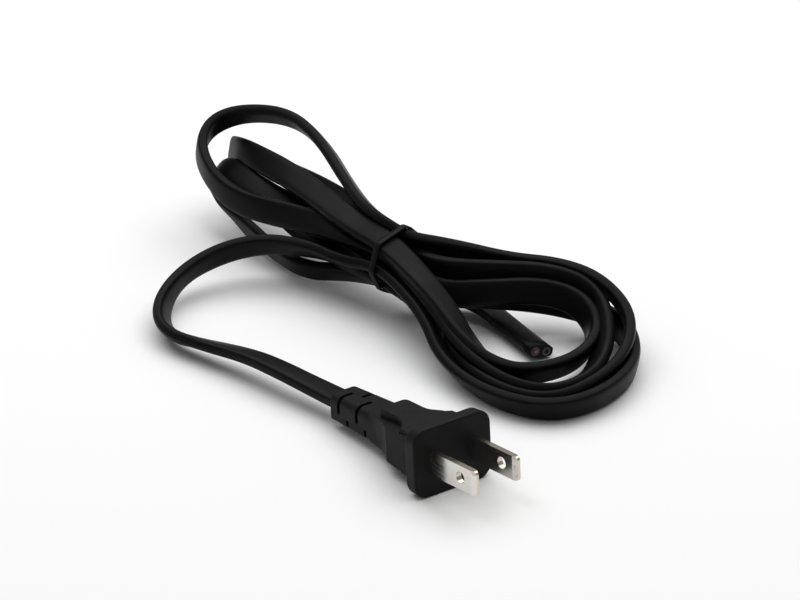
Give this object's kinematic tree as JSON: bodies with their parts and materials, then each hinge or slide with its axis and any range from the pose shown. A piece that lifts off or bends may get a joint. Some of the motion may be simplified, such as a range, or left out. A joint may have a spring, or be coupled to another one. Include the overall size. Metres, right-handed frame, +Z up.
{
  "type": "power cord",
  "caption": "Flat mains cord in a loose tied hank, with a moulded flat-blade plug with slotted strain relief at one end and a bare cut end at the other.",
  "frame": {"origin": "centre of the plug's face, where the blades leave it", "axes": "+X is the blades' direction, level; the plug itself lies nose up by 4.2 degrees. +Z is up. +Y is across the blades, towards left_blade."},
  "size_m": [0.1929, 0.0984, 0.0336],
  "materials": {
    "plug_plastic": "moulded PVC, fine matte grain",
    "carrier_plastic": "moulded, inside the plug",
    "plated_blade": "nickel plate on brass, drawn lengthways",
    "copper": "bare stranded copper",
    "cord_jacket": "extruded PVC, semi-matte",
    "tie_band": "plain black band"
  },
  "bodies": {
    "root": {"plug_body": "plug_plastic", "blade_carrier": "carrier_plastic", "left_blade": "plated_blade", "right_blade": "plated_blade", "left_wire": "copper", "right_wire": "copper", "cord_lead": "cord_jacket", "cord_hank": "cord_jacket", "cord_tail": "cord_jacket", "tie": "tie_band"}
  },
  "joints": []
}
